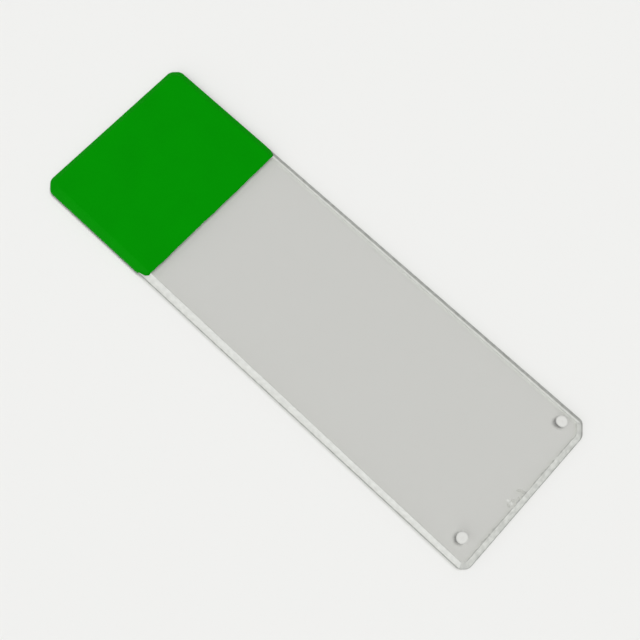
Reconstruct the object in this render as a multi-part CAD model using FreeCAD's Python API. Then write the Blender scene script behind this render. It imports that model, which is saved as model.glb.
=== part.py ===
import FreeCAD, Part
import math
import os
from FreeCAD import Vector

# Microscope slide: a clear glass plate with ground, bevelled edges and clipped
# corners, a green printed field over one end and two raised ink dots at the other.
#
# Millimetres. The origin is the centre of the underside. +X runs along the plate to
# its clear end, +Y across it, and +Z up out of the printed face.

# Glass plate
plate_length = 75.0
plate_width = 25.0
plate_thickness = 1.1
corner_cut = 1.2       # leg of each clipped corner, cut at 45 degrees
corner_radius = 0.9    # rounding where a clipped corner meets the straight edges
bevel_width = 0.8      # ground bevel, seen from above
bevel_depth = 0.38     # ground bevel, down the edge of the plate

# Printed colour field, over the upper face and its bevel
field_length = 19.5    # from the plate's end
ink_thickness = 0.03

# Raised ink dots near the clear end's corners
dot_diameter = 1.6
dot_height = 0.08
dot_rim_radius = 0.06     # rounding of the rim
dot_end_distance = 3.3    # from the plate's end to the dots' centres
dot_side_distance = 2.6   # from the long edges to the dots' centres
dot_side_shift = 0.6      # how far the pair is printed off the plate's centre line


def clipped_rectangle(length, width, leg, z):
    """Corner points, anticlockwise, of a rectangle with its four corners clipped at 45 degrees."""
    half_x = length / 2
    half_y = width / 2
    right_side = [(half_x, leg - half_y), (half_x, half_y - leg)]
    top_side = [(half_x - leg, half_y), (leg - half_x, half_y)]
    points = right_side + top_side
    points += [(-x, -y) for x, y in points]
    return [Vector(x, y, z) for x, y in points]


def eased_outline(points, radius):
    """Closed wire through the points, with an arc of this radius at every 45 degree turn."""
    setback = radius * math.tan(math.radians(22.5))
    sagitta = radius * (1 / math.cos(math.radians(22.5)) - 1)
    edges = []
    last_end = None
    first_start = None
    for index, corner in enumerate(points):
        before = (points[index - 1] - corner).normalize()
        after = (points[(index + 1) % len(points)] - corner).normalize()
        start = corner + before * setback
        end = corner + after * setback
        middle = corner + (before + after).normalize() * sagitta
        if last_end is None:
            first_start = start
        else:
            edges.append(Part.LineSegment(last_end, start).toShape())
        edges.append(Part.Arc(start, middle, end).toShape())
        last_end = end
    edges.append(Part.LineSegment(last_end, first_start).toShape())
    return Part.Wire(edges)


def outline_at(z, inset):
    """The plate's outline at this height, drawn in by an inset that is the same on all sides."""
    # A side at 45 degrees keeps its distance when the leg loses this share of the inset.
    leg = corner_cut - inset * (2 - math.sqrt(2))
    points = clipped_rectangle(plate_length - 2 * inset, plate_width - 2 * inset, leg, z)
    return eased_outline(points, corner_radius)


def bevel_face(lower_edge, upper_edge):
    """Flat face between two parallel lines, or the curved strip between two corner arcs."""
    if not isinstance(lower_edge.Curve, Part.Line):
        return Part.makeRuledSurface(lower_edge, upper_edge)
    low_start, low_end = [vertex.Point for vertex in lower_edge.Vertexes]
    high_start, high_end = [vertex.Point for vertex in upper_edge.Vertexes]
    return Part.Face(Part.makePolygon([low_start, low_end, high_end, high_start, low_start]))


def make_glass_plate():
    """One solid: two faces, a ground bevel round each, and the upright edge between the bevels."""
    under_face = outline_at(0, bevel_width)
    lower_edge = outline_at(bevel_depth, 0)
    upper_edge = outline_at(plate_thickness - bevel_depth, 0)
    upper_face = outline_at(plate_thickness, bevel_width)
    faces = [Part.Face(under_face), Part.Face(upper_face)]
    faces += lower_edge.extrude(Vector(0, 0, plate_thickness - 2 * bevel_depth)).Faces
    for lower, upper in ((under_face, lower_edge), (upper_edge, upper_face)):
        faces += [bevel_face(*pair) for pair in zip(lower.Edges, upper.Edges)]
    shell = Part.makeShell(faces)
    shell.sewShape()
    return Part.makeSolid(shell)


def make_colour_field(glass_plate):
    """Film of ink on the upper face and bevel, flush with the plate's outline."""
    upper_bevel_z = plate_thickness - bevel_depth
    field_zone = Part.makeBox(
        field_length,
        plate_width,
        bevel_depth + ink_thickness,
        Vector(-plate_length / 2, -plate_width / 2, upper_bevel_z),
    )
    raised_plate = glass_plate.translated(Vector(0, 0, ink_thickness))
    return raised_plate.common(field_zone).cut(glass_plate)


def make_dot(x, y):
    """Low round pad of ink with a rounded rim, flat where it sits on the glass."""
    pad = Part.makeCylinder(dot_diameter / 2, dot_height, Vector(x, y, plate_thickness))
    top_z = plate_thickness + dot_height
    rim = [edge for edge in pad.Edges if min(vertex.Z for vertex in edge.Vertexes) > top_z - dot_rim_radius]
    return pad.makeFillet(dot_rim_radius, rim)


def make_corner_dots():
    """Both dots, one near each corner of the clear end."""
    x = plate_length / 2 - dot_end_distance
    half_spacing = plate_width / 2 - dot_side_distance
    return Part.makeCompound([make_dot(x, dot_side_shift + side * half_spacing) for side in (-1, 1)])


glass_plate = make_glass_plate()
nodes = {
    "glass_plate": glass_plate,
    "colour_field": make_colour_field(glass_plate),
    "corner_dots": make_corner_dots(),
}

os.makedirs("parts", exist_ok=True)
for name, shape in nodes.items():
    shape.exportStep(f"parts/{name}.step")
    box = shape.BoundBox
    print(
        f"{name}: {len(shape.Solids)} solid, valid {shape.isValid()}, {shape.Volume:.4f} mm3, "
        f"x {box.XMin:.3f} {box.XMax:.3f}, y {box.YMin:.3f} {box.YMax:.3f}, z {box.ZMin:.3f} {box.ZMax:.3f}"
    )
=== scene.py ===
# %% [markdown]
# # A microscope slide
#
# The object is one plate of clear glass with a green printed field over one end and two
# raised dots of white ink near the other. This lesson loads the finished construction,
# models a visible version of each piece over it, and gives each its finish.
#
# Everything is in metres, with the plate flat on the floor: X along it, Y across it, Z up.

# %% Load the construction
import math
import random

import bmesh
import bpy
from mathutils import Matrix, Vector, noise


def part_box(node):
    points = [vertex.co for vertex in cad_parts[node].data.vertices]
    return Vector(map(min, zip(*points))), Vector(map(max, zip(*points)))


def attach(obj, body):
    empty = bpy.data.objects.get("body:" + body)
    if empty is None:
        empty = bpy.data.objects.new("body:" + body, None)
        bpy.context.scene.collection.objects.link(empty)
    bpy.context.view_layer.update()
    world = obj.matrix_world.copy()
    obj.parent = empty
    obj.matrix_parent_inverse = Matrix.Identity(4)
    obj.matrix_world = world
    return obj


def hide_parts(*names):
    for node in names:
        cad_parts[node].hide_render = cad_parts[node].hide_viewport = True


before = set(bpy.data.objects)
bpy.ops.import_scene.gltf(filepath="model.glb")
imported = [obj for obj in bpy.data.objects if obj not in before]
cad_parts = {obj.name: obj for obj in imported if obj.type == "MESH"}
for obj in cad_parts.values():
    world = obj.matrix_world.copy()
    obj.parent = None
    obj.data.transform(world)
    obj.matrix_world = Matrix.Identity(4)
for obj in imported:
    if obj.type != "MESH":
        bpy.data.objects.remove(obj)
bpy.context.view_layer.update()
print("construction:", sorted(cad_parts))

# %% [markdown]
# ## Sizes
#
# Lengths, widths and heights come from the construction's own boxes, so the visible pieces
# can't drift away from it. What a box can't tell, such as how wide the ground bevel is, is
# written here in millimetres, as it would be on a drawing.

# %% Sizes
MM = 0.001
HAIR = 0.002 * MM  # places closer together than this count as the same place
plate_low, plate_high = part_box("glass_plate")
field_edge_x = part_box("colour_field")[1].x
dots_low, dots_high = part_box("corner_dots")
plate_size = plate_high - plate_low
plate_centre = (plate_high + plate_low) / 2
top_z = plate_high.z

bevel_width = 0.8 * MM
bevel_depth = 0.38 * MM
upper_rim_z = plate_high.z - bevel_depth
lower_rim_z = plate_low.z + bevel_depth
dot_radius = (dots_high.x - dots_low.x) / 2
print("plate in mm:", [round(side / MM, 2) for side in plate_size])

# %% [markdown]
# ## Materials
#
# Two small helpers keep every material short. One turns a colour written as six hex digits,
# as on a paint card, into the linear numbers that the renderer works in. The other adds a
# node, sets its inputs and joins its links in one line.

# %% Helpers for materials
def linear(hex_colour):
    """An sRGB colour such as 'c8c8c8' as the linear red, green, blue and alpha of a socket."""
    channels = [int(hex_colour[start:start + 2], 16) / 255 for start in (0, 2, 4)]
    return [c / 12.92 if c <= 0.04045 else ((c + 0.055) / 1.055) ** 2.4 for c in channels] + [1]


def add_node(material, kind, settings=None, **inputs):
    """Add a node of this kind. settings are its own properties.

    inputs are its sockets, each given a value or a link. Some nodes have several sockets of one
    name, so a socket can be named by its number too: in_6 is input 6.
    """
    tree = material.node_tree
    node = tree.nodes.new(kind)
    for name, value in (settings or {}).items():
        setattr(node, name, value)
    for name, value in inputs.items():
        if name.startswith("in_"):
            socket = node.inputs[int(name[3:])]
        else:
            socket = next(s for s in node.inputs if s.enabled and s.name.replace(" ", "_") == name)
        if isinstance(value, bpy.types.NodeSocket):
            tree.links.new(value, socket)
        else:
            socket.default_value = value
    return node


def new_material(name):
    """An empty node material, and its output node."""
    material = bpy.data.materials.new(name)
    material.use_nodes = True
    material.node_tree.nodes.clear()
    return material, add_node(material, "ShaderNodeOutputMaterial")


def place_in_mm(material):
    """Each point's place on the object in millimetres, for patterns given in real sizes."""
    place = add_node(material, "ShaderNodeTexCoord").outputs["Object"]
    scale = add_node(material, "ShaderNodeMapping", Vector=place, Scale=(1 / MM, 1 / MM, 1 / MM))
    return scale.outputs["Vector"]


# %% [markdown]
# ### Glass that lets lamp light through
#
# A ray that looks for a lamp can't bend, so ordinary glass would throw a black shadow on
# the floor. For those rays, and for light on its way from the floor, the glass is swapped
# for a plain clear film with the tint that the plate really has. What is seen in the glass
# still bends and mirrors as it should.

# %% Helper for clear shadows
def let_light_through(material, output, shader, tint):
    """Show this shader, but be a clear tinted film to lamps and to light coming off the floor."""
    path = add_node(material, "ShaderNodeLightPath")
    film = add_node(material, "ShaderNodeBsdfTransparent", Color=tint).outputs[0]
    bounced = add_node(
        material, "ShaderNodeMixShader",
        in_0=path.outputs["Is Diffuse Ray"], in_1=shader, in_2=film,
    )
    joined = add_node(
        material, "ShaderNodeMixShader",
        in_0=path.outputs["Is Shadow Ray"], in_1=bounced.outputs[0], in_2=film,
    )
    material.node_tree.links.new(joined.outputs[0], output.inputs["Surface"])


# %% [markdown]
# ### Polished soda-lime glass
#
# Extra-white float glass: soda-lime glass with almost no iron, so it has no green cast. It
# bends light by an index of 1.52. The faces are fire-polished by the float process and
# wiped clean before packing, so they have no roughness that the eye can find.

# %% Polished glass
glass_index = 1.52  # how strongly soda-lime glass bends light
polished, polished_output = new_material("polished_soda_lime_glass")
polished_shader = add_node(
    polished, "ShaderNodeBsdfPrincipled",
    Base_Color=linear("f6f6f5"), Roughness=0.0, IOR=glass_index, Transmission_Weight=1.0,
)
let_light_through(polished, polished_output, polished_shader.outputs[0], linear("f1f1f0"))
print("polished glass:", polished.name)

# %% [markdown]
# ### Ground, coarse and broken glass
#
# Wherever the glass was worked or broken its surface is rough. Only how rough and how grey
# it is changes, so one recipe serves for all of it. A share of the surface is plain pale
# scattering and the rest is rough glass, a fine bump stands for the pits, and slow blotches
# about half a millimetre across stand for where the pits are deeper or hold dust.
#
# - Ground: the diamond wheel leaves pits finer than 0.05 mm, so the bevel looks grey-white
#   and dull. The pits are drawn about three times too large, so that they still show.
# - Clear end: the clear end's bevel and upright edge are painted greyer and more blotched,
#   as painted shade that darkens that end.
# - Coarse ground: next to the rim the wheel takes its full cut and leaves deeper pits. The
#   strip is painted a darker grey: painted shade for the dark line round the plate.
# - Corner ground: the four corners are a shade greyer than the bevels, and the painted dark
#   line where the polished face ends stops short of them.
# - Broken: glass breaks in smooth scoops with fine ripples. They are nearly clear, and their
#   grey colour is painted shade for the small darker spots that their bending makes.
# - Crushed: where the blow landed, the glass is powder-white.

# %% Ground, coarse and broken glass
def make_worked_glass(name, light, dark, tint, clear_share, roughness, pit_scale, pit_depth):
    """Rough glass: clear_share of it bends light, and the rest scatters it in two colours."""
    material, output = new_material(name)
    place = place_in_mm(material)
    grit = add_node(
        material, "ShaderNodeTexNoise", Vector=place, Scale=pit_scale, Detail=3.0, Roughness=0.6
    )
    pits = add_node(
        material, "ShaderNodeBump", Height=grit.outputs["Fac"], Strength=0.6, Distance=pit_depth
    )
    blotches = add_node(material, "ShaderNodeTexNoise", Vector=place, Scale=1.8, Detail=2.0)
    share = add_node(
        material, "ShaderNodeMapRange", Value=blotches.outputs["Fac"], From_Min=0.35, From_Max=0.65
    )
    colour = add_node(
        material, "ShaderNodeMix", {"data_type": "RGBA"},
        in_0=share.outputs["Result"], in_6=linear(light), in_7=linear(dark),
    )
    shader = add_node(
        material, "ShaderNodeBsdfPrincipled",
        Base_Color=colour.outputs[2], Roughness=roughness, IOR=glass_index,
        Transmission_Weight=clear_share, Normal=pits.outputs["Normal"],
    )
    let_light_through(material, output, shader.outputs[0], linear(tint))
    return material


# %% [markdown]
# The three finishes of the fine wheel differ in their colours only, and the other three in
# everything. The tint is that of the light which gets through.

# %% The six kinds of worked glass
fine_grit = {"clear_share": 0.35, "roughness": 0.5, "pit_scale": 7.0, "pit_depth": 0.02 * MM}
ground = make_worked_glass(
    "ground_soda_lime_glass", light="eeefeb", dark="e2e3df", tint="ecedea", **fine_grit
)
# Painted shade: the clear end's bevel is coloured greyer than the other sides.
ground_painted_end_shade = make_worked_glass(
    "scuffed_ground_soda_lime_glass", light="e9eae6", dark="d0d1cd", tint="e8e9e5", **fine_grit
)
# The coarse colours are painted shade: a darker line round the plate's edge.
coarse_with_painted_shade = make_worked_glass(
    "coarse_ground_soda_lime_glass", light="bcbdb9", dark="a4a5a1", tint="dcddd9",
    clear_share=0.30, roughness=0.6, pit_scale=5.0, pit_depth=0.04 * MM,
)
cornered = make_worked_glass(
    "corner_ground_soda_lime_glass", light="dadbd7", dark="cecfcb", tint="e8e9e5", **fine_grit
)
# The grey of the broken glass is painted shade that darkens the chips.
broken = make_worked_glass(
    "broken_soda_lime_glass", light="e0e1dd", dark="d0d1cd", tint="e8e9e5",
    clear_share=0.90, roughness=0.12, pit_scale=3.5, pit_depth=0.08 * MM,
)
crushed = make_worked_glass(
    "crushed_soda_lime_glass", light="e8e9e5", dark="dcddd9", tint="e8e9e5",
    clear_share=0.20, roughness=0.6, pit_scale=6.0, pit_depth=0.04 * MM,
)
worked_glass = (ground, ground_painted_end_shade, coarse_with_painted_shade, cornered, broken, crushed)
print("worked glass:", [material.name for material in worked_glass])

# %% [markdown]
# ### Green printing ink
#
# A baked epoxy ink, strongly coloured, with a satin surface that takes pencil and printer
# ribbon. The screen leaves a fine grain in it, and its colour is a shade deeper where the
# film is thicker.

# %% Green ink
def make_green_ink():
    """Satin green ink with a fine grain and slow clouds of two close shades."""
    material, output = new_material("green_epoxy_screen_ink")
    place = place_in_mm(material)
    grain = add_node(material, "ShaderNodeTexNoise", Vector=place, Scale=5.0, Detail=2.0, Roughness=0.5)
    cloud = add_node(material, "ShaderNodeTexNoise", Vector=place, Scale=0.25, Detail=3.0)
    colour = add_node(
        material, "ShaderNodeMix", {"data_type": "RGBA"},
        in_0=cloud.outputs["Fac"], in_6=linear("008800"), in_7=linear("009000"),
    )
    bumps = add_node(
        material, "ShaderNodeBump", Height=grain.outputs["Fac"], Strength=0.25, Distance=0.01 * MM
    )
    rough = add_node(
        material, "ShaderNodeMapRange", Value=grain.outputs["Fac"],
        From_Min=0.3, From_Max=0.7, To_Min=0.5, To_Max=0.62,
    )
    shader = add_node(
        material, "ShaderNodeBsdfPrincipled",
        Base_Color=colour.outputs[2], Roughness=rough.outputs["Result"], Specular_IOR_Level=0.08,
        Normal=bumps.outputs["Normal"],
    )
    material.node_tree.links.new(shader.outputs[0], output.inputs["Surface"])
    return material


# %% [markdown]
# ### White printing ink
#
# The same kind of ink, filled with titanium white and laid on thicker. Its colour follows its
# height above the plate: where the drop thins out towards its rim the glass shows through, and
# the rim's grey is also painted shade round the foot of the dot.

# %% White ink
thin_ink = 0.01  # mm above the glass, where the drop is all grey
full_ink = 0.065  # mm above the glass, where it is all white


def make_white_ink():
    """White ink that is greyer where it thins out, just above the glass."""
    material, output = new_material("white_epoxy_screen_ink")
    place = place_in_mm(material)
    grain = add_node(material, "ShaderNodeTexNoise", Vector=place, Scale=4.0, Detail=2.0)
    bumps = add_node(
        material, "ShaderNodeBump", Height=grain.outputs["Fac"], Strength=0.2, Distance=0.01 * MM
    )
    height = add_node(material, "ShaderNodeSeparateXYZ", Vector=place).outputs["Z"]
    thick = add_node(
        material, "ShaderNodeMapRange", Value=height,
        From_Min=top_z / MM + thin_ink, From_Max=top_z / MM + full_ink, To_Min=0.0, To_Max=1.0,
    )
    # Grey at the rim: partly glass showing through the thin ink, partly painted shade.
    colour = add_node(
        material, "ShaderNodeMix", {"data_type": "RGBA"},
        in_0=thick.outputs["Result"], in_6=linear("b8b9b5"), in_7=linear("dcdcd8"),
    )
    shader = add_node(
        material, "ShaderNodeBsdfPrincipled",
        Base_Color=colour.outputs[2], Roughness=0.35, Normal=bumps.outputs["Normal"],
    )
    material.node_tree.links.new(shader.outputs[0], output.inputs["Surface"])
    return material


green_ink = make_green_ink()
white_ink = make_white_ink()
print("inks:", [material.name for material in (green_ink, white_ink)])

# %% [markdown]
# ## Working in edit mode from code
#
# Modelling by hand means: pick something, then run a tool on it. These helpers do the
# picking. One makes one object the only one selected and opens it in edit mode. Another
# selects the corners, edges or faces that pass a test of their place or direction.

# %% Helpers for edit mode
MOSTLY = 0.9  # a direction with more than this share along an axis counts as running that way


def open_for_editing(piece):
    """Make this piece the only one selected, and enter edit mode with nothing in it selected."""
    bpy.ops.object.select_all(action="DESELECT")
    bpy.context.view_layer.objects.active = piece
    piece.select_set(True)
    bpy.ops.object.mode_set(mode="EDIT")
    bpy.ops.mesh.select_all(action="DESELECT")


def close_editing():
    """Leave edit mode."""
    bpy.ops.object.mode_set(mode="OBJECT")


def pick(piece, kind, test):
    """In edit mode, select the verts, edges or faces that pass the test, and return how many."""
    modes = {"verts": "VERT", "edges": "EDGE", "faces": "FACE"}
    bpy.ops.mesh.select_mode(type=modes[kind])
    bpy.ops.mesh.select_all(action="DESELECT")
    mesh = bmesh.from_edit_mesh(piece.data)
    mesh.normal_update()
    chosen = [part for part in getattr(mesh, kind) if test(part)]
    for part in chosen:
        part.select_set(True)
    bmesh.update_edit_mesh(piece.data)
    return len(chosen)


def direction(edge):
    """The direction an edge runs in, as a vector of length 1."""
    return (edge.verts[1].co - edge.verts[0].co).normalized()


def near(value, target, tolerance=0.01 * MM):
    """True if two lengths are the same, to a hundredth of a millimetre unless told otherwise."""
    return abs(value - target) < tolerance


def lies_at(edge, axis, value):
    """True if both ends of an edge have this coordinate."""
    return all(near(vert.co[axis], value) for vert in edge.verts)


# %% [markdown]
# ## The glass plate
#
# The real plate is scored and snapped from a sheet of float glass, its four corners are
# clipped, and then every edge is run along a diamond wheel, which leaves a dull, slanted
# bevel on both faces and a narrow upright edge between them.
#
# The model starts from the one part of the edge that stays upright: a cube as long and as
# wide as the plate, but only as tall as that narrow band. A bisect with its fill turned on
# clips each corner. The plate is held against the wheel for a moment only at each corner, so
# no two cuts are quite alike, and one of them is askew. The eight upright edges that this
# leaves are bevelled in several segments, which rounds them.

# %% Glass plate: the upright band
# With a smaller ease, the insets below would cross over at the sharpest turn.
corner_ease = 0.43 * MM
# Each cut: which end, which side, mm cut off the side, mm cut off the end.
corner_cuts = [
    (-1, -1, 1.25, 1.25),
    (-1, 1, 1.05, 1.05),
    (1, -1, 0.95, 0.95),
    (1, 1, 1.35, 1.70),
]
band_size = Vector((plate_size.x, plate_size.y, upper_rim_z - lower_rim_z))
bpy.ops.object.select_all(action="DESELECT")
bpy.ops.mesh.primitive_cube_add(size=1, location=plate_centre, scale=band_size)
glass = bpy.context.object
glass.name = "ground_edge_slide"
glass.data.name = "ground_edge_slide"
bpy.ops.object.transform_apply(location=True, rotation=True, scale=True)


def is_upright(edge):
    """True if an edge of the mesh runs straight up."""
    return abs(direction(edge).z) > MOSTLY


open_for_editing(glass)
for end, side, off_side, off_end in corner_cuts:
    outwards = Vector((end * off_end, side * off_side, 0)).normalized()
    cut_start = Vector((end * (plate_size.x / 2 - off_side * MM), side * plate_size.y / 2, 0))
    bpy.ops.mesh.select_all(action="SELECT")
    bpy.ops.mesh.bisect(plane_co=cut_start, plane_no=outwards, clear_outer=True, use_fill=True)
rounded = pick(glass, "edges", is_upright)
bpy.ops.mesh.bevel(offset=corner_ease, offset_type="OFFSET", segments=8, affect="EDGES")
close_editing()
print("upright edges rounded:", rounded)

# %% [markdown]
# ### Ground bevels
#
# The wheel's rim is hollow, so it grinds a bevel that is not quite flat: it starts gently at
# the face and steepens towards the edge. Each face of the band is inset three times, and
# each inset also lifts what is left: first the steep strip, then the gentle one, then a
# hair's breadth for the line where the polish ends. An inset keeps its width all round, at
# the corners too, just as a wheel does. The plate was held askew, though, so the steep strip
# is widest along the far long side and narrowest along the near one and the clear end: its
# inner ring is pushed sideways. The near bevel also widens towards the green end, so the two
# rings round the upper face are pulled inwards there, at that one corner. The two sharp
# turns into the upright band are rounded last.

# %% Glass plate: ground bevels
steep_width = 0.30 * MM
steep_top = 0.16 * MM  # how far below the flat face the steep strip ends
line_width = 0.04 * MM
line_depth = 0.02 * MM
rim_ease = 0.12 * MM
askew = Vector((0.17, -0.18, 0)) * MM
widening = Vector((0, 0.42, 0)) * MM


def is_level_at(face, height):
    """True if a face of the mesh is level and lies at this height."""
    return near(face.calc_center_median().z, height) and abs(face.normal.z) > MOSTLY


def is_widened(vert):
    """True if a corner of the mesh lies in one of the two top rings, at the near green corner."""
    # The second ring lies one line_depth down, and the next one much deeper.
    on_top_rings = vert.co.z > plate_high.z - 1.5 * line_depth
    return on_top_rings and vert.co.x < plate_centre.x and vert.co.y < plate_centre.y


open_for_editing(glass)
for band_z in (upper_rim_z, lower_rim_z):
    pick(glass, "faces", lambda face: is_level_at(face, band_z))
    bpy.ops.mesh.inset(thickness=steep_width, depth=bevel_depth - steep_top)
    bpy.ops.mesh.inset(thickness=bevel_width - steep_width, depth=steep_top - line_depth)
    bpy.ops.mesh.inset(thickness=line_width, depth=line_depth)
for ring_z in (plate_high.z - steep_top, plate_low.z + steep_top):
    pick(glass, "verts", lambda vert: near(vert.co.z, ring_z))
    bpy.ops.transform.translate(value=askew)
pick(glass, "verts", is_widened)
bpy.ops.transform.translate(value=widening)
rim_lines = pick(
    glass, "edges", lambda edge: lies_at(edge, 2, upper_rim_z) or lies_at(edge, 2, lower_rim_z)
)
bpy.ops.mesh.bevel(offset=rim_ease, offset_type="OFFSET", segments=3, affect="EDGES")
close_editing()
print("rim lines rounded:", rim_lines)
print("plate in mm:", [round(side / MM, 3) for side in glass.dimensions])

# %% [markdown]
# ### The line between polished and ground glass
#
# A diamond wheel doesn't leave a perfect line where it meets the polished face: the glass
# breaks away in tiny nicks, and more of them on the clear end, which is knocked most.
#
# Only the upper face gets nicks, because the lower one's are hidden by the bevel above them.
# That face is taken off first, so that only rings are left. Each straight run of the rings
# is divided into short steps, the corners of the innermost ring are moved inwards by random
# amounts in the plane of the face, and the opening is filled again. The random numbers start
# from a fixed seed, so every run makes the same nicks.

# %% Glass plate: nicked line round the polished face
nick_step = 0.3 * MM
side_nick = 0.01 * MM
end_nick = 0.08 * MM
nick_spread = 0.6  # as a share of the typical depth
large_nick_share = 0.08  # of all nicks
large_nick = 3  # times as deep
deepest_nick = 0.35 * MM
long_edge = 5 * MM  # longer than anything but the straight runs of the rings
seed = 4


def on_top(vert):
    """True if a corner of the mesh lies in the upper face."""
    return near(vert.co.z, plate_high.z, HAIR)


def is_straight_run(edge, axis):
    """True if an edge is a long one on the upper half, and runs along this axis."""
    runs_along = abs(direction(edge)[axis]) > MOSTLY
    return runs_along and edge.calc_length() > long_edge and edge.verts[0].co.z > plate_centre.z


open_for_editing(glass)
pick(glass, "faces", lambda face: face.normal.z > MOSTLY and all(on_top(vert) for vert in face.verts))
bpy.ops.mesh.delete(type="ONLY_FACE")
for axis in (0, 1):
    pick(glass, "edges", lambda edge: is_straight_run(edge, axis))
    bpy.ops.mesh.subdivide(number_cuts=round(plate_size[axis] / nick_step))
close_editing()

dice = random.Random(seed)
for vert in glass.data.vertices:
    if on_top(vert):
        inwards = plate_centre - vert.co
        along_x = plate_size.x / 2 - abs(inwards.x) < plate_size.y / 2 - abs(inwards.y)
        axis = 0 if along_x else 1
        typical = end_nick if along_x and vert.co.x > 0 else side_nick
        depth = abs(dice.gauss(typical, nick_spread * typical))
        if dice.random() < large_nick_share:
            depth *= large_nick
        vert.co[axis] += math.copysign(min(depth, deepest_nick), inwards[axis])

open_for_editing(glass)
pick(glass, "edges", lambda edge: on_top(edge.verts[0]) and on_top(edge.verts[1]))
bpy.ops.mesh.edge_face_add()
bpy.ops.mesh.select_all(action="SELECT")
bpy.ops.mesh.normals_make_consistent(inside=False)
close_editing()
print("corners of the mesh:", len(glass.data.vertices), "faces:", len(glass.data.polygons))

# %% [markdown]
# ### Five finishes on one plate
#
# The two flat faces are polished. The nicked line round the upper one and the steep strips
# are coarse, and painted darker as shade. The gentle strips and the upright band are ground,
# painted greyer as shade on the clear end, and greyer at the clipped corners, where the nicked
# line is lost too. Polished is the first slot, so faces have it to begin with, and each later
# finish takes its faces from the ones before it. The strips are told apart by how deep below
# the nearer face they lie, and the corners by looking out along a diagonal.

# %% Glass plate: finishes
for material in (polished, ground, ground_painted_end_shade, coarse_with_painted_shade, cornered):
    glass.data.materials.append(material)

clear_end_x = plate_high.x - bevel_width
# The darker strip is painted shade along the plate's edge.
dark_strip_reach = 0.02 * MM  # how far the coarse strip runs on into the rounded rim
corner_aim = math.radians(22.5)  # a corner's faces look at least this far away from both sides


def depth_below_face(face):
    """How far the middle of a face of the mesh lies below the plate's nearer flat face."""
    height = face.calc_center_median().z
    return min(plate_high.z - height, height - plate_low.z)


def on_clear_end(face):
    """True if a face of the mesh lies on the clear end's bevel or edge."""
    return face.calc_center_median().x > clear_end_x


def at_corner(face):
    """True if a face of the mesh looks out over a corner of the plate."""
    smaller_share = min(abs(face.normal.x), abs(face.normal.y))
    return smaller_share > math.sin(corner_aim) * face.normal.xy.length


def on_upper_half(face):
    """True if a face of the mesh lies above the middle of the plate's thickness."""
    return face.calc_center_median().z > plate_centre.z


def anywhere(face):
    """True for every face."""
    return True


def finish(material, least, most, test):
    """Give this finish to the faces that pass the test and lie between two depths."""
    count = pick(glass, "faces", lambda face: least < depth_below_face(face) <= most and test(face))
    glass.active_material_index = glass.data.materials.find(material.name)
    bpy.ops.object.material_slot_assign()
    bpy.ops.mesh.faces_shade_smooth()
    print(material.name, "on", count, "faces")


open_for_editing(glass)
finish(ground, HAIR, plate_size.z, anywhere)
# The clear end takes the greyer colours of painted shade.
finish(ground_painted_end_shade, HAIR, plate_size.z, on_clear_end)
# Painted shade: the nicked line and the steep strips take the darker coarse colours.
finish(coarse_with_painted_shade, HAIR, line_depth, on_upper_half)
finish(cornered, HAIR, plate_size.z, at_corner)
finish(coarse_with_painted_shade, steep_top, bevel_depth + dark_strip_reach, anywhere)
close_editing()

# %% [markdown]
# ### Chips at the clear end
#
# A few shell-shaped chips sit side by side at the end's bevel, where the glass was knocked.
# Glass breaks in smooth, curved scoops with a sharp rim, and their outline is never quite
# round. A flattened ball, made lumpy by noise and cut out of the plate by a Boolean
# modifier, leaves just that shape. Two small ones lay bare crushed glass. Each ball wears
# the glass that it lays bare, and the modifier hands that material on to the cut.
# Where a cut grazes a corner of the mesh it leaves a sliver, so corners that all but touch
# are merged at the end.

# %% Glass plate: chips
lumps = 0.3  # how far the noise moves a ball's skin, as a share of its radius
lump_rate = 1.3  # a higher one makes more and smaller lumps
lump_stride = 7  # keeps the balls' lumps from being alike
ball_lift = 0.003 * MM
# Each scoop, in mm and degrees: across the plate, distance in from the bevel, reach, half
# width, depth, turn, and the glass that it lays bare.
scoops = [
    (-0.05, 0.86, 0.34, 0.20, 0.035, 35, broken),
    (0.12, 0.40, 0.36, 0.22, 0.015, 0, broken),
    (-0.79, 0.14, 0.44, 0.14, 0.03, -5, broken),
    (-1.53, 0.66, 0.28, 0.19, 0.035, 20, broken),
    (-2.38, 0.66, 0.32, 0.19, 0.035, -20, broken),
    (-1.97, 1.08, 0.24, 0.19, 0.03, 0, crushed),
    (-1.95, 0.50, 0.20, 0.12, 0.02, 0, crushed),
]
for across, inward, reach, half_width, depth, turn, glass_kind in scoops:
    bpy.ops.object.select_all(action="DESELECT")
    bpy.ops.mesh.primitive_uv_sphere_add(
        segments=32, ring_count=16, radius=1,
        location=(clear_end_x - inward * MM, across * MM, top_z + ball_lift),
        rotation=(0, 0, math.radians(turn)), scale=(reach * MM, half_width * MM, depth * MM),
    )
    ball = bpy.context.object
    own_lumps = Vector((across, inward, 0)) * lump_stride
    for vert in ball.data.vertices:
        vert.co *= 1 + lumps * noise.noise(lump_rate * vert.co + own_lumps)
    ball.data.materials.append(glass_kind)
    cut = glass.modifiers.new("chip", "BOOLEAN")
    cut.operation = "DIFFERENCE"
    cut.solver = "MANIFOLD"
    cut.material_mode = "TRANSFER"
    cut.object = ball
    bpy.context.view_layer.objects.active = glass
    bpy.ops.object.modifier_apply(modifier=cut.name)
    bpy.data.objects.remove(ball)

open_for_editing(glass)
bpy.ops.mesh.select_all(action="SELECT")
bpy.ops.mesh.remove_doubles(threshold=HAIR)
close_editing()
print("faces after chipping:", len(glass.data.polygons))
print("finishes on the glass:", [material.name for material in glass.data.materials])

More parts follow.
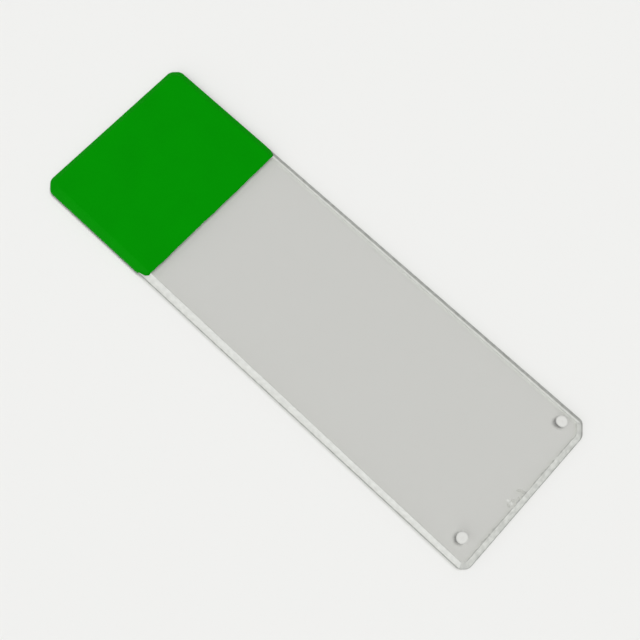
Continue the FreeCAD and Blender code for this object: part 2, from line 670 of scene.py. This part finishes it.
# %% [markdown]
# ## The green field
#
# The field is ink pressed through a mesh screen and baked on. It lies on the face, runs
# down over the bevel and just wets the upright edge. It is only 0.03 mm thick, but its
# border catches the light, so it gets a real thickness.
#
# A film follows whatever it lies on, so the model starts as a copy of the plate. The copy
# is cut at the field's border, its underside is thrown away, and a Solidify modifier gives
# the skin that is left its thickness. The skin first shrinks by a hair into the glass, so
# that no two surfaces lie in exactly the same place.

# %% Green field: a skin cut from the plate
ink_thickness = 0.03 * MM
ink_bite = 0.004 * MM
border_step = 0.16 * MM
ink_foot_z = lower_rim_z + 0.9 * rim_ease  # faces below this belong to the lower rim or bevel

bpy.ops.object.select_all(action="DESELECT")
glass.select_set(True)
bpy.context.view_layer.objects.active = glass
bpy.ops.object.duplicate()
ink = bpy.context.object
ink.name = "green_field"
ink.data.name = "green_field"
ink.data.materials.clear()
ink.data.materials.append(green_ink)

open_for_editing(ink)
bpy.ops.mesh.select_all(action="SELECT")
bpy.ops.mesh.bisect(plane_co=(field_edge_x, 0, 0), plane_no=(1, 0, 0), clear_outer=True)
pick(ink, "faces", lambda face: face.calc_center_median().z < ink_foot_z)
bpy.ops.mesh.delete(type="FACE")
pick(ink, "edges", lambda edge: lies_at(edge, 0, field_edge_x) and edge.calc_length() > long_edge)
bpy.ops.mesh.subdivide(number_cuts=round(plate_size.y / border_step))
close_editing()
print("skin faces:", len(ink.data.polygons))

# %% [markdown]
# The screen can't press down on the slope of a bevel, so the ink thins out there. At both
# ends of the border it misses a narrow, pointed strip of the bevel. Two slanted cuts on each
# side take that corner off the skin: a steep one beside the flat face, and a shallow one
# that runs out at the rim.

# %% Green field: the border's ends
# Three points of the missed corner: mm back from the border, mm in from the plate's side.
missed_corner = [(0.0, 0.75), (0.35, 0.35), (1.7, 0.0)]
# Which side, and how much of the missed corner's width it has.
border_ends = [(-1, 1.0), (1, 0.8)]

open_for_editing(ink)
for side, share in border_ends:
    turns = [
        Vector((field_edge_x - back * MM, side * (plate_high.y - share * inward * MM), 0))
        for back, inward in missed_corner
    ]
    for start, end in zip(turns, turns[1:]):
        along = (end - start).normalized()
        bpy.ops.mesh.select_all(action="SELECT")
        outwards = (side * along.y, -side * along.x, 0)
        bpy.ops.mesh.bisect(plane_co=start, plane_no=outwards, clear_outer=True)
close_editing()
print("skin faces:", len(ink.data.polygons))

# %% [markdown]
# The screen's threads leave the printed border very slightly uneven. Corners of the mesh
# on that line are moved by small random amounts, and by a slow wave that stands for the
# stretch of the screen.

# %% Green field: uneven border and thickness
border_wander = 0.03 * MM
thread_share = 0.8  # of the wander, for the random part
wave_share = 0.6  # of the wander, for the slow wave
long_wave = 1.9 * MM
short_wave = 0.7 * MM

for vert in ink.data.vertices:
    if near(vert.co.x, field_edge_x):
        wave = math.sin(vert.co.y / long_wave) + math.sin(vert.co.y / short_wave + 1)
        vert.co.x += border_wander * (dice.gauss(0, thread_share) + wave_share * wave)

open_for_editing(ink)
bpy.ops.mesh.select_all(action="SELECT")
bpy.ops.transform.shrink_fatten(value=-ink_bite)
close_editing()

film = ink.modifiers.new("thickness", "SOLIDIFY")
film.thickness = ink_thickness + ink_bite
film.offset = 1
bpy.ops.object.modifier_apply(modifier=film.name)
print("field in mm:", [round(side / MM, 3) for side in ink.dimensions])

# %% [markdown]
# ## The two dots
#
# Each dot is a drop of thick white ink that keeps the next slide in the box from sticking
# to this one. It dries with a rounded rim and a slightly sunken middle.
#
# A disc is extruded up and inset four times, which gives the shoulder, the crest and the
# dished middle, and a Subdivision Surface modifier rounds it. Both dots come from one
# function, each with its own small differences, because no two printed drops are the same.

# %% Dots
dot_height = dots_high.z - top_z
dot_sides = 32
wall_share = 0.3  # of the dot's height, for the upright wall at its rim
# From the rim inwards, each inset as a share of the radius, and its rise as a share of the height.
dot_insets = [(0.16, 0.42), (0.20, 0.22), (0.20, 0.06), (0.22, -0.22)]
lobes = 0.5  # how three-sided a dot is, as a share of how stretched it is


def print_dot(name, centre, stretch):
    """A drop of dried ink, centred here. A stretch above 0 is along X, and one below 0 along Y."""
    bpy.ops.object.select_all(action="DESELECT")
    bpy.ops.mesh.primitive_circle_add(
        vertices=dot_sides, radius=dot_radius, fill_type="NGON",
        location=(centre.x, centre.y, top_z - ink_bite),
    )
    dot = bpy.context.object
    dot.name = name
    dot.data.name = name
    bpy.ops.object.transform_apply(location=True, rotation=True, scale=True)
    open_for_editing(dot)
    bpy.ops.mesh.select_all(action="SELECT")
    wall = (0, 0, wall_share * dot_height)
    bpy.ops.mesh.extrude_region_move(TRANSFORM_OT_translate={"value": wall})
    for inset, rise in dot_insets:
        bpy.ops.mesh.inset(thickness=inset * dot_radius, depth=rise * dot_height)
    bpy.ops.mesh.select_all(action="SELECT")
    bpy.ops.mesh.normals_make_consistent(inside=False)
    close_editing()
    for vert in dot.data.vertices:
        turn = math.atan2(vert.co.y - centre.y, vert.co.x - centre.x)
        grow = 1 + stretch * math.cos(2 * turn) + lobes * stretch * math.cos(3 * turn + 1)
        vert.co.x = centre.x + (vert.co.x - centre.x) * grow
        vert.co.y = centre.y + (vert.co.y - centre.y) * grow
    rounded = dot.modifiers.new("rounded", "SUBSURF")
    rounded.levels = 2
    rounded.render_levels = 2
    bpy.ops.object.modifier_apply(modifier=rounded.name)
    bpy.ops.object.shade_smooth()
    dot.data.materials.append(white_ink)
    return dot


dots_x = (dots_low.x + dots_high.x) / 2
far_shift = 0.02 * MM  # towards the clear end, as is the near dot's
near_shift = 0.18 * MM
dot_stretch = 0.03
far_centre = Vector((dots_x + far_shift, dots_high.y - dot_radius, top_z))
near_centre = Vector((dots_x + near_shift, dots_low.y + dot_radius, top_z))
far_dot = print_dot("dot_a", far_centre, dot_stretch)
near_dot = print_dot("dot_b", near_centre, -dot_stretch)
print("dot height in mm:", round(far_dot.dimensions.z / MM, 3))

# %% [markdown]
# ## Joining the pieces to the construction
#
# Each visible piece rides on the slide's one body and stands for the construction piece
# that it covers, which is hidden.

# %% Ride and replace
for piece, node, slot in (
    (glass, "glass_plate", "clear_glass"),
    (ink, "colour_field", "green_ink"),
    (far_dot, "corner_dots", "white_ink"),
    (near_dot, "corner_dots", "white_ink"),
):
    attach(piece, "root")
    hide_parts(node)
    print(piece.name, "replaces", node, "with", len(piece.data.polygons), "faces")

# %% [markdown]
# ## Floor and light
#
# A pale matt floor lies a hair below the glass, because real glass rests on its highest
# few points with a film of air between.
#
# Both lights are suns with a wide disc, which act like big, far soft boxes: their shadows
# are soft, and they light the whole floor evenly, so it looks the same from every side. The
# main one is nearly overhead, so each dot's shadow falls just beside it. The wide, low one
# on the near side picks out the near bevel, and an even pale sky fills the rest. Neither sun
# shows as a mirror image in the glass, as if the lens carried a polarising filter. The sky
# gives little light, so where it is seen directly, above the floor's far edge, a brighter
# backdrop takes its place.

# %% Floor
floor_gap = 0.02 * MM
floor_size = 20  # metres, so that its edge is far away in every view
bpy.ops.object.select_all(action="DESELECT")
bpy.ops.mesh.primitive_plane_add(size=floor_size, location=(0, 0, plate_low.z - floor_gap))
floor = bpy.context.object
floor.name = "floor"
floor_paint, floor_output = new_material("pale_matt_floor")
floor_shader = add_node(
    floor_paint, "ShaderNodeBsdfPrincipled",
    Base_Color=linear("ececea"), Roughness=0.9, Specular_IOR_Level=0.1,
)
floor_paint.node_tree.links.new(floor_shader.outputs[0], floor_output.inputs["Surface"])
floor.data.materials.append(floor_paint)
print("floor lies", round(floor_gap / MM, 3), "mm below the glass")

# %% Sky and backdrop
sky = bpy.data.worlds.new("studio")
sky.use_nodes = True
sky.node_tree.nodes.clear()
path = add_node(sky, "ShaderNodeLightPath")
air = add_node(sky, "ShaderNodeBackground", Color=linear("f4f5f6"), Strength=0.21)
backdrop = add_node(sky, "ShaderNodeBackground", Color=linear("f0f0ef"), Strength=1.0)
seen = add_node(
    sky, "ShaderNodeMixShader",
    in_0=path.outputs["Is Camera Ray"], in_1=air.outputs[0], in_2=backdrop.outputs[0],
)
add_node(sky, "ShaderNodeOutputWorld", Surface=seen.outputs[0])
bpy.context.scene.world = sky
print("sky strength:", air.inputs["Strength"].default_value)


# %% Lights
def add_soft_sun(name, azimuth, elevation, spread, strength):
    """A sun whose disc is spread degrees wide. Azimuth 0 is at +Y and 90 is at +X."""
    turn = math.radians(azimuth)
    height = math.radians(elevation)
    towards_sun = Vector((
        math.sin(turn) * math.cos(height),
        math.cos(turn) * math.cos(height),
        math.sin(height),
    ))
    bpy.ops.object.light_add(type="SUN", location=towards_sun)
    sun = bpy.context.object
    sun.name = name
    sun.data.angle = math.radians(spread)
    sun.data.energy = strength
    sun.rotation_euler = (-towards_sun).to_track_quat("-Z", "Y").to_euler()
    sun.visible_glossy = False
    sun.visible_transmission = False
    print(name, "shines from", [round(c, 2) for c in towards_sun])


add_soft_sun("key_sun", azimuth=36, elevation=78, spread=25, strength=1.96)
add_soft_sun("fill_sun", azimuth=180, elevation=32, spread=85, strength=1.46)

# %% [markdown]
# ## Camera
#
# The slide is seen from close by and nearly from above, with its clear end nearer to the
# lens, so it widens towards that end. The camera is turned a few degrees about its own
# axis, as a hand-held one would be.

# %% Camera
aim = Vector((2.38, -0.56, 0)) * MM
camera_distance = 136.8 * MM
camera_azimuth = math.radians(37.7)
camera_elevation = math.radians(73.2)
camera_roll = math.radians(5.4)
camera_lens = 58.5  # the lens's focal length, in millimetres
nearest_seen = 5 * MM

towards_camera = Vector((
    math.sin(camera_azimuth) * math.cos(camera_elevation),
    -math.cos(camera_azimuth) * math.cos(camera_elevation),
    math.sin(camera_elevation),
))
bpy.ops.object.camera_add(location=aim + camera_distance * towards_camera)
camera = bpy.context.object
look = (-towards_camera).to_track_quat("-Z", "Y").to_matrix()
camera.rotation_euler = (look @ Matrix.Rotation(camera_roll, 3, "Z")).to_euler()
camera.data.lens = camera_lens
camera.data.clip_start = nearest_seen
bpy.context.scene.camera = camera
bpy.context.scene.view_settings.view_transform = "Standard"
print("camera at", [round(c, 4) for c in camera.location])
